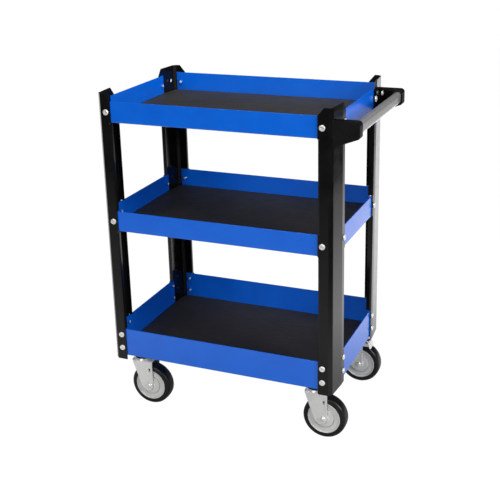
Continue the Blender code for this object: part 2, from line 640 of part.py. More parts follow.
def make_caster_plate(corner, pivot):
    """Top plate with the upper ball race and the kingpin that carries the fork."""
    shape = bmesh.new()
    bmesh.ops.create_cube(shape, size=1)
    size = (CASTER_PLATE_LENGTH, CASTER_PLATE_WIDTH, CASTER_PLATE_THICKNESS)
    bmesh.ops.scale(shape, vec=size, verts=shape.verts)
    mesh = bpy.data.meshes.new(f"caster_plate_{corner}")
    shape.to_mesh(mesh)
    shape.free()
    middle_z = PLATE_TOP_Z - CASTER_PLATE_THICKNESS / 2
    plate = place(f"caster_plate_{corner}", mesh, zinc, cart, pivot + Vector((0, 0, middle_z)))
    race_bend = RACE_LOW_Z + RACE_HEIGHT * 2 / 3
    crown_low = FORK_TOP_Z - FORK_SHEET
    head_top = crown_low - FIT_GAP
    stem = [
        (0, middle_z),
        (RACE_RADIUS, middle_z),
        (RACE_RADIUS, race_bend),
        (RACE_NECK_RADIUS, RACE_LOW_Z),
        (KINGPIN_RADIUS, RACE_LOW_Z),
        (KINGPIN_RADIUS, head_top),
        (KINGPIN_HEAD_RADIUS, head_top),
        (KINGPIN_HEAD_RADIUS * 0.8, head_top - KINGPIN_HEAD_HEIGHT),
        (0, head_top - KINGPIN_HEAD_HEIGHT),
    ]
    name = f"kingpin_{corner}"
    pin = make_cutter(name, profile_mesh(name, stem, False), pivot)
    add_screw(pin, SMALL_STEPS)
    combine(plate, pin, "UNION")


def fork_side_outline():
    """Side view of a fork in X and Z, measured from its swivel axis."""
    eye = (CASTER_TRAIL - (FORK_EYE_RADIUS - (FORK_REAR - CASTER_TRAIL)), WHEEL_Z)
    top = FORK_TOP_Z + FORK_SHEET
    shoulder = FORK_TOP_Z - FORK_SHEET
    return ([(FORK_REAR, top), (-FORK_FRONT, top), (-FORK_FRONT, shoulder)]
            + arc(eye, FORK_EYE_RADIUS, 200, 360, EYE_STEPS))


def make_fork(corner, pivot):
    """A pressed fork: channel cut to its side view, with a turned ball track on its crown."""
    depth = FORK_HALF_WIDTH
    path = [(-depth, 0), (-depth, FORK_TOP_Z), (depth, FORK_TOP_Z), (depth, 0)]
    outside = rounded_path(path, FORK_BEND_RADIUS, FORK_STEPS)
    inside = rounded_path(offset_path(path, FORK_SHEET), FORK_BEND_RADIUS - FORK_SHEET, FORK_STEPS)
    name = f"caster_fork_{corner}"
    channel = outline_mesh(name, [outside + inside[::-1]], 2 * (FORK_FRONT + FORK_REAR))
    # the outline's X becomes world Y and its Y becomes world Z
    upright = Matrix(((0, 0, 1), (1, 0, 0), (0, 1, 0))).to_euler()
    fork = place(name, channel, zinc, cart, pivot, upright)
    side = outline_mesh(f"fork_side_{corner}", [fork_side_outline()], 4 * depth)
    combine(fork, make_cutter(f"fork_side_{corner}", side, pivot, (math.radians(90), 0, 0)), "INTERSECT")
    middle_z = FORK_TOP_Z - FORK_SHEET / 2
    track = [
        (KINGPIN_RADIUS + KINGPIN_CLEARANCE, FORK_CROWN_TOP_Z),
        (RACE_NECK_RADIUS, FORK_CROWN_TOP_Z),
        (FORK_CROWN_RADIUS, FORK_TOP_Z),
        (FORK_CROWN_RADIUS, middle_z),
        (KINGPIN_RADIUS + KINGPIN_CLEARANCE, middle_z),
    ]
    crown = make_cutter(f"fork_crown_{corner}", profile_mesh(f"fork_crown_{corner}", track, True), pivot)
    add_screw(crown, SMALL_STEPS)
    combine(fork, crown, "UNION")
    bore = cylinders_mesh(f"fork_bore_{corner}", [((0, 0, middle_z), (0, 0, 1))],
                          KINGPIN_RADIUS + KINGPIN_CLEARANCE, 2 * FORK_SHEET, SMALL_STEPS)
    combine(fork, make_cutter(f"fork_bore_{corner}", bore, pivot))
    axle_hole = cylinders_mesh(f"fork_axle_hole_{corner}", [((CASTER_TRAIL, 0, WHEEL_Z), (0, 1, 0))],
                               AXLE_RADIUS + AXLE_CLEARANCE, 2 * depth, BOLT_STEPS)
    combine(fork, make_cutter(f"fork_axle_hole_{corner}", axle_hole, pivot))
    slot = outline_mesh(f"fork_slot_{corner}",
                        [rounded_rectangle(FORK_SLOT_WIDTH, FORK_SLOT_HEIGHT, FORK_SLOT_WIDTH / 5, 1)],
                        4 * depth)
    slot_x = CASTER_TRAIL + FORK_SLOT_BACK
    combine(fork, make_cutter(f"fork_slot_{corner}", slot, pivot + Vector((slot_x, 0, FORK_SLOT_Z)),
                              (math.radians(90), 0, 0)))


def make_axle(corner, axle):
    """A bolt through both fork arms, with its head at the front and its nut at the rear."""
    reach = FORK_HALF_WIDTH + FIT_GAP
    end = reach + AXLE_HEAD_HEIGHT
    profile = [
        (0, end),
        (AXLE_HEAD_RADIUS * 0.6, end - AXLE_HEAD_HEIGHT * 0.1),
        (AXLE_HEAD_RADIUS, end - AXLE_HEAD_HEIGHT * 0.45),
        (AXLE_HEAD_RADIUS, reach),
        (AXLE_RADIUS, reach),
        (AXLE_RADIUS, -reach),
        (AXLE_HEAD_RADIUS, -reach),
        (AXLE_HEAD_RADIUS, -end),
        (0, -end),
    ]
    turned(f"caster_axle_{corner}", profile, False, zinc, BOLT_STEPS, axle, (math.radians(90), 0, 0))


def make_hub(corner, axle):
    """A disc hub with a rim for the tyre and a boss that runs on the axle."""
    bore = (AXLE_RADIUS + AXLE_CLEARANCE) / math.cos(math.pi / ROUND_STEPS)
    rim = TYRE_INNER_RADIUS - FIT_GAP
    flange = TYRE_WIDTH / 2 - FIT_GAP
    disc = HUB_DISC_WIDTH / 2
    boss = HUB_BOSS_WIDTH / 2
    upper = [
        (bore, boss),
        (HUB_BOSS_RADIUS, boss),
        (HUB_BOSS_RADIUS, disc),
        (rim - HUB_RIM_DEPTH, disc),
        (rim - HUB_RIM_DEPTH / 2, flange),
        (rim, flange),
    ]
    lower = [(radius, -height) for radius, height in reversed(upper)]
    turned(f"wheel_hub_{corner}", upper + lower, True, hub_grey, ROUND_STEPS, axle,
           (math.radians(90), 0, 0))


def make_tyre(corner, axle):
    """A solid tyre with a slightly crowned tread and rounded shoulders."""
    side = TYRE_WIDTH / 2
    upper = [
        (TYRE_INNER_RADIUS, side),
        (WHEEL_RADIUS - 2 * TYRE_CROWN, side),
        (WHEEL_RADIUS - TYRE_CROWN / 2, side - TYRE_CROWN),
        (WHEEL_RADIUS, side / 3),
    ]
    lower = [(radius, -height) for radius, height in reversed(upper)]
    turned(f"tyre_{corner}", upper + lower, True, tyre_rubber, ROUND_STEPS, axle,
           (math.radians(90), 0, 0))


def make_caster(corner, sx, sy):
    pivot = at(sx * (HALF_WIDTH - CASTER_INSET_X), sy * (HALF_DEPTH - CASTER_INSET_Y), 0)
    axle = pivot + Vector((CASTER_TRAIL, 0, WHEEL_Z))
    make_caster_plate(corner, pivot)
    make_fork(corner, pivot)
    make_axle(corner, axle)
    make_hub(corner, axle)
    make_tyre(corner, axle)


# ---------------------------------------------------------------- build
clear_scene()
cart = new_collection("tool_cart")
cutters = new_collection("cutters")

blue_coat = new_material("blue_powder_coat", (0.010, 0.110, 0.620), 0.0, 0.25)
black_coat = new_material("black_powder_coat", (0.012, 0.012, 0.012), 0.0, 0.22)
black_plastic = new_material("black_plastic", (0.010, 0.010, 0.010), 0.0, 0.45)
mat_foam = new_material("mat_foam", (0.035, 0.035, 0.036), 0.0, 0.70)
aluminium = new_material("aluminium", (0.560, 0.560, 0.560), 1.0, 0.35)
zinc = new_material("zinc", (0.720, 0.720, 0.700), 1.0, 0.30)
hub_grey = new_material("hub_grey", (0.560, 0.560, 0.550), 0.0, 0.40)
tyre_rubber = new_material("tyre_rubber", (0.012, 0.012, 0.013), 0.0, 0.60)

for post_corner, way_x, way_y in CORNERS:
    make_post(post_corner, way_x, way_y)
for tray_name, tray_z, wall_height, bolt_rises in TRAYS:
    make_tray(tray_name, tray_z, wall_height, bolt_rises)
    make_liner(tray_name, tray_z)
make_tray_bolts()
for bracket_side, way_y in handle_sides():
    make_bracket(bracket_side, way_y)
make_handle_tube()
for caster_corner, way_x, way_y in CORNERS:
    make_caster(caster_corner, way_x, way_y)
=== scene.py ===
"""Looks for the three-tray tool cart: camera, light, materials and detailed pieces round the CAD frame."""

import json
import math

import bmesh
import bpy
from mathutils import Matrix, Vector

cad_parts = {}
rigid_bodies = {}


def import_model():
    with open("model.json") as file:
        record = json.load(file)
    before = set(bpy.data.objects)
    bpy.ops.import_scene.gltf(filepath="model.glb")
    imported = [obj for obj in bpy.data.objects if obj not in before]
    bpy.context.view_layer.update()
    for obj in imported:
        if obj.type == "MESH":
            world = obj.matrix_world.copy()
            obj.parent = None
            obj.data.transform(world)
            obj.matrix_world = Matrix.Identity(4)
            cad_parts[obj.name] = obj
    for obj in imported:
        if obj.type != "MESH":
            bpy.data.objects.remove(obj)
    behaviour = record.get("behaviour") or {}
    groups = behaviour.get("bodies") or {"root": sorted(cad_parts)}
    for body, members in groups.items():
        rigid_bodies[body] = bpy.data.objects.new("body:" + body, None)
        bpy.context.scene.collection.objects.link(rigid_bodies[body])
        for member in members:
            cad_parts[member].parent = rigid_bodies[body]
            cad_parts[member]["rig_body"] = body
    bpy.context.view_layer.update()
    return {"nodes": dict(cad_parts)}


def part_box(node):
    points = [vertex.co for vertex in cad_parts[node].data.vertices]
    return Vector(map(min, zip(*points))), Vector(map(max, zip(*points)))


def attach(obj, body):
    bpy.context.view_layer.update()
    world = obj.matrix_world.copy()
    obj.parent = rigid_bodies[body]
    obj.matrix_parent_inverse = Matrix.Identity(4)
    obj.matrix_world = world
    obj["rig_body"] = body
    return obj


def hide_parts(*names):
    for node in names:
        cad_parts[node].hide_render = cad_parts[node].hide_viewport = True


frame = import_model()

# ---------------------------------------------------------------- places read from the frame
TRAYS = ("top", "middle", "bottom")
CORNERS = ("front_left", "front_right", "rear_left", "rear_right")
SIDES = {"front": -1, "rear": 1}

TRAY_LOW, TRAY_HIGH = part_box("top_tray")
CX = (TRAY_LOW.x + TRAY_HIGH.x) / 2                       # the trays' middle
GAP = 0.0003                                              # between pieces that touch

# ---------------------------------------------------------------- detail sizes (metres)
SHEET_EDGE = 0.0006         # softened edge of cut sheet metal
BEND_EDGE = 0.0011          # rounding over the facets of a bend
MAT_EDGE = 0.0008
TRAY_SHEET = 0.002
ROUND_STEPS = 96
BOLT_STEPS = 48

LOWER_BOLT_RISE = 0.0255    # lower bolt row of the bottom tray, above its underside
TRAY_HEAD_HEIGHT = 0.0036
TRAY_SHANK_RADIUS = 0.004
TRAY_NUT_BORE = 0.0041
HANDLE_HEAD_HEIGHT = 0.0045
HANDLE_SHANK_RADIUS = 0.005
HEAD_ROUNDING = 0.62        # share of a head's height
HEAD_CHAMFER = 0.0002       # where a head meets its seat
HEAD_RECESS_DEPTH = 0.0024
HEAD_RECESS_REACH = 0.0047
HEAD_RECESS_WIDTH = 0.0015
RECESS_FLOOR_REACH = 0.7    # shares of the recess's reach and width, at its floor
RECESS_FLOOR_WIDTH = 0.6
PLAIN_SHANK = 0.45          # share of a shank that has no thread
THREAD_PITCH = 0.00125
THREAD_DEPTH = 0.0005
THREAD_ROOT = 0.4           # shares of a pitch, to the root and to the crest
THREAD_CREST = 0.9

NUT_REACH = 0.0050          # across the flats, halved
NUT_HEIGHT = 0.0045
NUT_CORNER_DROP = 0.0008
NUT_TURNING = 0.97          # radius that the corners are turned to, as a share of the reach
NUT_EDGE = 0.0003
NUT_CHAMFER = 0.0005
NUT_FLANGE_RADIUS = 0.0064
NUT_FLANGE_HEIGHT = 0.0012
NUT_FILLET_REACH = 0.0004   # between flange and flats
NUT_FILLET_FOOT = 0.0006
NUT_FILLET_TOP = 0.0008

BRACKET_EDGE = 0.0007
RECESS_DEPTH = 0.0010       # shallow upright recesses on a bracket's outer face
RECESS_PLACES = ((0.0255, 0.0370), (0.0405, 0.0530))      # from the post's side strap, along X
RECESS_TOP = 0.0085         # below the bracket's top
RECESS_HEIGHT = 0.46        # share of the bracket's height
RECESS_CORNER = 0.3         # share of the recess's width
TUBE_CORNER_RADIUS = 0.008
TUBE_WALL = 0.002

TYRE_EDGE = 0.0008          # where the side wall meets the wheel centre
RIDGE_PLACE = 0.45          # share of the side wall's height
RIDGE_WIDTH = 0.0008        # moulded ridge between side wall and tread
RIDGE_FOOT = 0.0002
SIDE_WALL_DISH = 0.0008
SHOULDER_RADIUS = 0.0076
SHOULDER_INSET = 0.0083     # its middle, inside the tread
SHOULDER_DROP = 0.0078      # its middle, inside the side wall
SHOULDER_SPAN = (84, 14)    # degrees from the tread's direction
TREAD_CROWN = ((0.0004, 0.45), (0.0001, 0.20))            # drop of the tread at shares of its half width

HUB_BORE = 0.0055
HUB_BOSS_RADIUS = 0.013
HUB_EDGE = 0.0008
HUB_BORE_EDGE = 0.0004
INNER_DISC_RADIUS = 0.0285  # raised disc in the middle of a hub
INNER_DISC_DROP = 0.0010    # its face, below the rim's
INNER_DISC_EDGE = 0.0009
DISC_FILLET = ((0.0010, 0.0002), (0.0022, 0.0))           # out from the boss, and up from the disc's face
BAND_DROP = 0.0024          # face between the disc and the rim, below the rim's
GROOVE_DEPTH = 0.0030       # round the disc, below the band
GROOVE_STEPS = (0.0002, 0.0016, 0.0019)                   # its floor's edges and its outer lip, from the disc
# inside the rim, and below its face; None stands for the band's height
RIM_STEPS = ((0.0032, None), (0.0024, 0.0003), (0.0019, 0.0), (0.0007, 0.0), (0.0, 0.0007))

AXLE_RADIUS = 0.005
AXLE_HEAD = 0.006
AXLE_HEAD_RADIUS = 0.0085
AXLE_FLANGE = 0.0010
AXLE_FLANGE_EDGE = 0.0002
DOME_INSET = 0.0012         # inside the nut's flange
DOME_FOOT = 0.0016
DOME_STEPS = 10
HEX_INSET = 0.0008
HEX_FOOT = 0.0014
HEX_CHAMFER = 0.0010
HEX_FACE = 0.96             # share of the reach, at the head's end

RACE_RADIUS = 0.027
RACE_NECK_RADIUS = 0.0235
LOWER_SEAL = (0.0018, 0.0040, 0.0032)                     # sunk in the crown, height, proud of the neck
UPPER_SEAL = (0.0046, 0.0044, 0.0012)                     # below the plate, height, proud of the race
SEAL_THICKNESS = 0.003
SEAL_EDGE = 0.0005
SEAL_EDGE_HEIGHT = 0.0006

FORK_SHEET = 0.0025
FORK_BEND_RADIUS = 0.007
FORK_EDGE = 0.0004
FORK_BEAD_WIDTH = 0.0046
FORK_BEAD_RISE = 0.0007
FORK_BEAD_INSET = 0.0002
FORK_BEAD_ROUNDING = 2.1    # its width over its corner radius
FORK_BEAD_SOFTENING = 0.9   # share of its rise
FORK_BEAD_TOP = 0.006       # below the crown's bend
FORK_BEAD_END = 0.004       # above the axle's middle
PEDAL_WIDTH = 0.040
PEDAL_HEIGHT = 0.022
PEDAL_SHEET = 0.002
PEDAL_CORNER = 0.004
PEDAL_BACK = 0.0305         # behind the axle
PEDAL_LEAN = 18             # degrees
PEDAL_DROP = 0.0235         # below the fork's top
PEDAL_RIBS = (-0.3, 0.0, 0.3)                             # shares of its height
RIB_LENGTH = 0.7            # shares of the pedal's width and height
RIB_HEIGHT = 0.12
RIB_CORNER = 0.055
RIB_PROUD = 0.6             # share of the pedal's sheet
EAR_DROP = 0.021            # below the fork's top
EAR_INSET = 0.002
EAR_ROOT = ((0, -0.004), (0, 0.006))                      # lower and upper corner at the axle's line
EAR_TIP = ((-0.001, 0.004), (0.001, -0.006))              # corners at the pedal
EAR_KNEE = (0.55, -0.0055)                                # share of the reach, and height

PLATE_SHEET = 0.003
PLATE_BOLT_INSET = 0.011
PLATE_NUT_BORE = 0.0039
STUD_RADIUS = 0.0038
STUD_ROOT_RADIUS = 0.0033
STUD_END_RADIUS = 0.0035
STUD_PROUD = 0.002          # beyond its nut
STUD_HEAD = ((0, 0.0002), (0.0066, 0.0002), (0.0068, 0), (0.0068, -0.0012), (0.0038, -0.0019))
STUD_NECK = 0.0025


# ---------------------------------------------------------------- camera
CAMERA_AZIMUTH = math.radians(23.193)
CAMERA_ELEVATION = math.radians(18.193)
CAMERA_ROLL = math.radians(-1.4275)
CAMERA_PLACE = Vector((CX + 1.0386, -2.3976, 1.4523))
CAMERA_SENSOR = 36.0
CAMERA_LENS = 68.406
CAMERA_SHIFT = -0.09


def add_camera():
    """A camera from the front right and a little above."""
    level = math.cos(CAMERA_ELEVATION)
    forward = Vector((-math.sin(CAMERA_AZIMUTH) * level, math.cos(CAMERA_AZIMUTH) * level,
                      -math.sin(CAMERA_ELEVATION)))
    right = Vector((math.cos(CAMERA_AZIMUTH), math.sin(CAMERA_AZIMUTH), 0))
    up = right.cross(forward)
    tilted_right = math.cos(CAMERA_ROLL) * right + math.sin(CAMERA_ROLL) * up
    tilted_up = tilted_right.cross(forward)
    data = bpy.data.cameras.new("camera")
    data.sensor_width = CAMERA_SENSOR
    data.lens = CAMERA_LENS
    data.shift_y = CAMERA_SHIFT
    data.clip_end = 50
    camera = bpy.data.objects.new("camera", data)
    turn = Matrix((tilted_right, tilted_up, -forward)).transposed()
    camera.matrix_world = Matrix.Translation(CAMERA_PLACE) @ turn.to_4x4()
    bpy.context.scene.collection.objects.link(camera)
    bpy.context.scene.camera = camera


# ---------------------------------------------------------------- node helpers
NOISE_LOW = 0.3             # most of a noise texture's values lie between these
NOISE_HIGH = 0.7


class Graph:
    """A material's node tree, with short calls for the nodes used here."""

    def __init__(self, name, colour, roughness, metallic=0.0):
        self.material = bpy.data.materials.new(name)
        self.material.use_nodes = True
        self.tree = self.material.node_tree
        self.shader = self.tree.nodes["Principled BSDF"]
        self.shader.inputs["Base Color"].default_value = (*colour, 1)
        self.shader.inputs["Roughness"].default_value = roughness
        self.shader.inputs["Metallic"].default_value = metallic
        self.place = self.tree.nodes.new("ShaderNodeTexCoord").outputs["Object"]

    def link(self, source, target):
        self.tree.links.new(source, target)

    def mapped(self, scale):
        """Object coordinates, scaled along each axis."""
        node = self.tree.nodes.new("ShaderNodeMapping")
        node.inputs["Scale"].default_value = scale
        self.link(self.place, node.inputs["Vector"])
        return node.outputs["Vector"]

    def noise(self, scale, detail=2.0, stretch=(1, 1, 1)):
        node = self.tree.nodes.new("ShaderNodeTexNoise")
        node.inputs["Scale"].default_value = scale
        node.inputs["Detail"].default_value = detail
        self.link(self.mapped(stretch), node.inputs["Vector"])
        return node.outputs["Fac"]

    def cells(self, scale):
        node = self.tree.nodes.new("ShaderNodeTexVoronoi")
        node.inputs["Scale"].default_value = scale
        self.link(self.place, node.inputs["Vector"])
        return node.outputs["Distance"]

    def spread(self, value, low, high):
        """A noise value spread over the range from low to high."""
        node = self.tree.nodes.new("ShaderNodeMapRange")
        node.inputs["From Min"].default_value = NOISE_LOW
        node.inputs["From Max"].default_value = NOISE_HIGH
        node.inputs["To Min"].default_value = low
        node.inputs["To Max"].default_value = high
        self.link(value, node.inputs["Value"])
        return node.outputs["Result"]

    def blend(self, value, one, two):
        """A colour between two, chosen by a noise value."""
        node = self.tree.nodes.new("ShaderNodeMix")
        node.data_type = "RGBA"
        node.inputs["A"].default_value = (*one, 1)
        node.inputs["B"].default_value = (*two, 1)
        self.link(self.spread(value, 0, 1), node.inputs["Factor"])
        return node.outputs["Result"]

    def bump(self, value, height, strength=1.0):
        node = self.tree.nodes.new("ShaderNodeBump")
        node.inputs["Strength"].default_value = strength
        node.inputs["Distance"].default_value = height
        self.link(value, node.inputs["Height"])
        self.link(node.outputs["Normal"], self.shader.inputs["Normal"])

    def vary_colour(self, value, one, two):
        self.link(self.blend(value, one, two), self.shader.inputs["Base Color"])

    def vary_roughness(self, value, low, high):
        self.link(self.spread(value, low, high), self.shader.inputs["Roughness"])


# ---------------------------------------------------------------- materials
def blue_powder_coat():
    """Gloss blue paint with a fine orange peel and slight pigment clouding."""
    graph = Graph("blue_powder_coat", (0.001, 0.118, 0.650), 0.2)
    graph.vary_colour(graph.noise(14, 3), (0.0008, 0.110, 0.622), (0.0014, 0.126, 0.678))
    graph.vary_roughness(graph.noise(60), 0.16, 0.24)
    graph.bump(graph.noise(700), 0.00002, 0.5)
    return graph.material


def black_powder_coat():
    """Gloss black paint, finely peeled, a little dusty in places."""
    graph = Graph("black_powder_coat", (0.004, 0.004, 0.004), 0.14)
    graph.shader.inputs["Specular IOR Level"].default_value = 0.26
    graph.vary_colour(graph.noise(20, 3), (0.003, 0.003, 0.003), (0.006, 0.006, 0.0055))
    graph.vary_roughness(graph.noise(45), 0.10, 0.20)
    graph.bump(graph.noise(800), 0.00002, 0.5)
    return graph.material


def black_plastic():
    """Moulded plastic with a fine spark-eroded grain."""
    graph = Graph("black_plastic", (0.004, 0.004, 0.004), 0.4)
    graph.shader.inputs["Specular IOR Level"].default_value = 0.12
    graph.vary_colour(graph.noise(40), (0.003, 0.003, 0.003), (0.0055, 0.0055, 0.0055))
    graph.vary_roughness(graph.noise(120), 0.34, 0.48)
    graph.bump(graph.cells(1400), 0.00006, 0.5)
    return graph.material


def mat_foam():
    """Dark foam mat with a closed-cell skin and faint rolling marks."""
    graph = Graph("mat_foam", (0.036, 0.033, 0.026), 0.6)
    graph.shader.inputs["Specular IOR Level"].default_value = 0.3
    graph.vary_colour(graph.noise(9, 4), (0.032, 0.029, 0.023), (0.041, 0.038, 0.030))
    graph.vary_roughness(graph.noise(30, 3, (1, 6, 1)), 0.52, 0.68)
    graph.bump(graph.cells(900), 0.00012, 0.6)
    return graph.material


def aluminium():
    """Satin anodised tube, with drawing lines along it."""
    graph = Graph("aluminium", (0.55, 0.55, 0.56), 0.30, 0.75)
    graph.vary_colour(graph.noise(60, 3, (20, 0.4, 20)), (0.50, 0.50, 0.51), (0.62, 0.62, 0.63))
    graph.vary_roughness(graph.noise(90, 3, (12, 0.3, 12)), 0.26, 0.38)
    graph.bump(graph.noise(120, 2, (30, 0.5, 30)), 0.00002, 0.5)
    return graph.material


def zinc():
    """Bright zinc plate, clouded and faintly scratched."""
    graph = Graph("zinc", (0.79, 0.79, 0.77), 0.30, 0.5)
    graph.vary_colour(graph.noise(50, 3), (0.76, 0.765, 0.75), (0.82, 0.815, 0.795))
    graph.vary_roughness(graph.noise(90, 3), 0.26, 0.34)
    graph.bump(graph.noise(300, 2), 0.00001, 0.15)
    return graph.material


def hub_grey():
    """Light grey moulded plastic, a little marbled by its flow."""
    graph = Graph("hub_grey", (0.59, 0.59, 0.575), 0.38)
    graph.vary_colour(graph.noise(36, 4), (0.56, 0.56, 0.545), (0.62, 0.62, 0.605))
    graph.vary_roughness(graph.noise(80), 0.32, 0.46)
    graph.bump(graph.noise(900), 0.00004, 0.4)
    return graph.material


def tyre_rubber():
    """Solid black rubber, its roughness varying at random over the whole tyre."""
    graph = Graph("tyre_rubber", (0.003, 0.003, 0.0033), 0.34)
    graph.shader.inputs["Specular IOR Level"].default_value = 0.35
    graph.vary_colour(graph.noise(50, 3), (0.002, 0.002, 0.0023), (0.0045, 0.0045, 0.0045))
    graph.vary_roughness(graph.noise(110, 3), 0.28, 0.42)
    graph.bump(graph.noise(650, 2), 0.00004, 0.4)
    return graph.material


MATERIALS = {make.__name__: make() for make in (
    blue_powder_coat, black_powder_coat, black_plastic, mat_foam, aluminium, zinc, hub_grey, tyre_rubber)}


# ---------------------------------------------------------------- outline helpers
def arc(centre, radius, start, end, steps):
    """Points along an arc, its angles in degrees."""
    angles = [math.radians(start + (end - start) * i / steps) for i in range(steps + 1)]
    return [(centre[0] + radius * math.cos(a), centre[1] + radius * math.sin(a)) for a in angles]


def rounded_rectangle(width, height, radius, steps):
    """Outline of a rectangle round the origin with rounded corners."""
    x = width / 2 - radius
    y = height / 2 - radius
    return (arc((x, y), radius, 0, 90, steps) + arc((-x, y), radius, 90, 180, steps)
            + arc((-x, -y), radius, 180, 270, steps) + arc((x, -y), radius, 270, 360, steps))


# ---------------------------------------------------------------- piece helpers
UPRIGHT = Matrix.Rotation(math.radians(90), 4, "X")       # local +Z to world -Y


def paint(mesh, slot):
    mesh.materials.clear()
    mesh.materials.append(MATERIALS[slot])


def finish_mesh(mesh, slot, angle=35):
    """Give a mesh its finish, and smooth shading across edges flatter than the angle."""
    paint(mesh, slot)
    mesh.shade_smooth()
    mesh.set_sharp_from_angle(angle=math.radians(angle))


def add_piece(name, mesh, body, matrix=None, replaced=()):
    """Link a mesh, already given its finish, as a piece that rides on a body, and may stand for CAD nodes."""
    piece = bpy.data.objects.new(name, mesh)
    if matrix is not None:
        piece.matrix_world = matrix
    bpy.context.scene.collection.objects.link(piece)
    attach(piece, body)
    if replaced:
        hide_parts(*replaced)
    return piece


def bevelled(mesh, slot, width, segments, angle):
    """A mesh with its finish, its edges sharper than the angle rounded and its flat faces shaded flat."""
    paint(mesh, slot)
    mesh.shade_smooth()
    holder = bpy.data.objects.new("holder", mesh)
    bpy.context.scene.collection.objects.link(holder)
    bevel = holder.modifiers.new("edges", "BEVEL")
    bevel.width = width
    bevel.segments = segments
    bevel.limit_method = "ANGLE"
    bevel.angle_limit = math.radians(angle)
    bevel.use_clamp_overlap = True
    weighted = holder.modifiers.new("normals", "WEIGHTED_NORMAL")
    weighted.mode = "FACE_AREA"
    weighted.weight = 100
    return evaluated(holder)


def evaluated(holder):
    """The holder's mesh with its modifiers applied; the holder goes."""
    graph = bpy.context.evaluated_depsgraph_get()
    mesh = bpy.data.meshes.new_from_object(holder.evaluated_get(graph))
    bpy.data.objects.remove(holder, do_unlink=True)
    return mesh


def with_booleans(mesh, steps):
    """A mesh after Boolean steps, each an operation and another mesh."""
    holder = bpy.data.objects.new("holder", mesh)
    bpy.context.scene.collection.objects.link(holder)
    others = []
    for operation, other in steps:
        tool = bpy.data.objects.new("tool", other)
        bpy.context.scene.collection.objects.link(tool)
        others.append(tool)
        step = holder.modifiers.new(operation, "BOOLEAN")
        step.operation = operation
        step.solver = "EXACT"
        step.object = tool
    result = evaluated(holder)
    for tool in others:
        bpy.data.objects.remove(tool, do_unlink=True)
    return result


def clean_copy(node):
    """A CAD node's mesh with its flat faces joined up again."""
    mesh = frame["nodes"][node].data.copy()
    shape = bmesh.new()
    shape.from_mesh(mesh)
    bmesh.ops.remove_doubles(shape, verts=shape.verts, dist=0.00001)
    bmesh.ops.dissolve_limit(shape, angle_limit=math.radians(0.5), verts=shape.verts, edges=shape.edges)
    for edge in shape.edges:
        edge.smooth = True
    shape.to_mesh(mesh)
    shape.free()
    return mesh


def softened(node, name, slot, width, segments=2, angle=18):
    """A CAD sheet part with its cut edges and bends rounded."""
    mesh = bevelled(clean_copy(node), slot, width, segments, angle)
    mesh.name = name
    body = frame["nodes"][node]["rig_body"]
    return add_piece(name, mesh, body, replaced=(node,))


def turned_mesh(name, profile, steps, closed=False):
    """A profile of (radius, height) points, top first, turned about Z; a radius may depend on the angle."""
    shape = bmesh.new()
    angles = [2 * math.pi * i / steps for i in range(steps)]
    rings = []
    for radius, height in profile:
        if radius == 0:
            rings.append([shape.verts.new((0, 0, height))] * steps)
            continue
        reach = [radius(a) if callable(radius) else radius for a in angles]
        rings.append([shape.verts.new((r * math.cos(a), r * math.sin(a), height))
                      for a, r in zip(angles, reach)])
    pairs = list(zip(rings, rings[1:]))
    if closed:
        pairs.append((rings[-1], rings[0]))
    for upper, lower in pairs:
        for i in range(steps):
            j = (i + 1) % steps
            corners = []
            for vert in (upper[i], lower[i], lower[j], upper[j]):
                if vert not in corners:
                    corners.append(vert)
            if len(corners) > 2:
                shape.faces.new(corners)
    bmesh.ops.recalc_face_normals(shape, faces=shape.faces)
    mesh = bpy.data.meshes.new(name)
    shape.to_mesh(mesh)
    shape.free()
    return mesh


def extruded_mesh(name, outline, thickness, holes=()):
    """A flat outline in XY, thick along Z about its middle, with holes."""
    curve = bpy.data.curves.new(name, "CURVE")
    curve.dimensions = "2D"
    curve.fill_mode = "BOTH"
    curve.extrude = thickness / 2
    for points in (outline, *holes):
        spline = curve.splines.new("POLY")
        spline.points.add(len(points) - 1)
        for point, (x, y) in zip(spline.points, points):
            point.co = (x, y, 0, 1)
        spline.use_cyclic_u = True
    holder = bpy.data.objects.new(name, curve)
    bpy.context.scene.collection.objects.link(holder)
    mesh = evaluated(holder)
    shape = bmesh.new()
    shape.from_mesh(mesh)
    bmesh.ops.remove_doubles(shape, verts=shape.verts, dist=0.00001)
    bmesh.ops.recalc_face_normals(shape, faces=shape.faces)
    shape.to_mesh(mesh)
    shape.free()
    return mesh


# ---------------------------------------------------------------- sheet metal
def add_posts():
    for corner in CORNERS:
        softened(f"post_{corner}", f"post_sheet_{corner}", "black_powder_coat", BEND_EDGE, 3)


def add_trays():
    for tray in TRAYS:
        softened(f"{tray}_tray", f"{tray}_tray_sheet", "blue_powder_coat", SHEET_EDGE, 2)
        softened(f"{tray}_liner", f"{tray}_mat", "mat_foam", MAT_EDGE, 3)


# ---------------------------------------------------------------- bolts
def cross(reach, width):
    """Radius of a cross-shaped outline at each angle."""
    def radius(angle):
        long, short = sorted((abs(math.cos(angle)), abs(math.sin(angle))), reverse=True)
        short = max(short, 0.001)
        return max(min(reach / long, width / short), min(width / long, reach / short))
    return radius


def hexagon(reach, limit):
    """Radius of a hexagon with its corners turned off at a limit."""
    def radius(angle):
        from_flat = (angle + math.pi / 6) % (math.pi / 3) - math.pi / 6
        return min(limit, reach / math.cos(from_flat))
    return radius


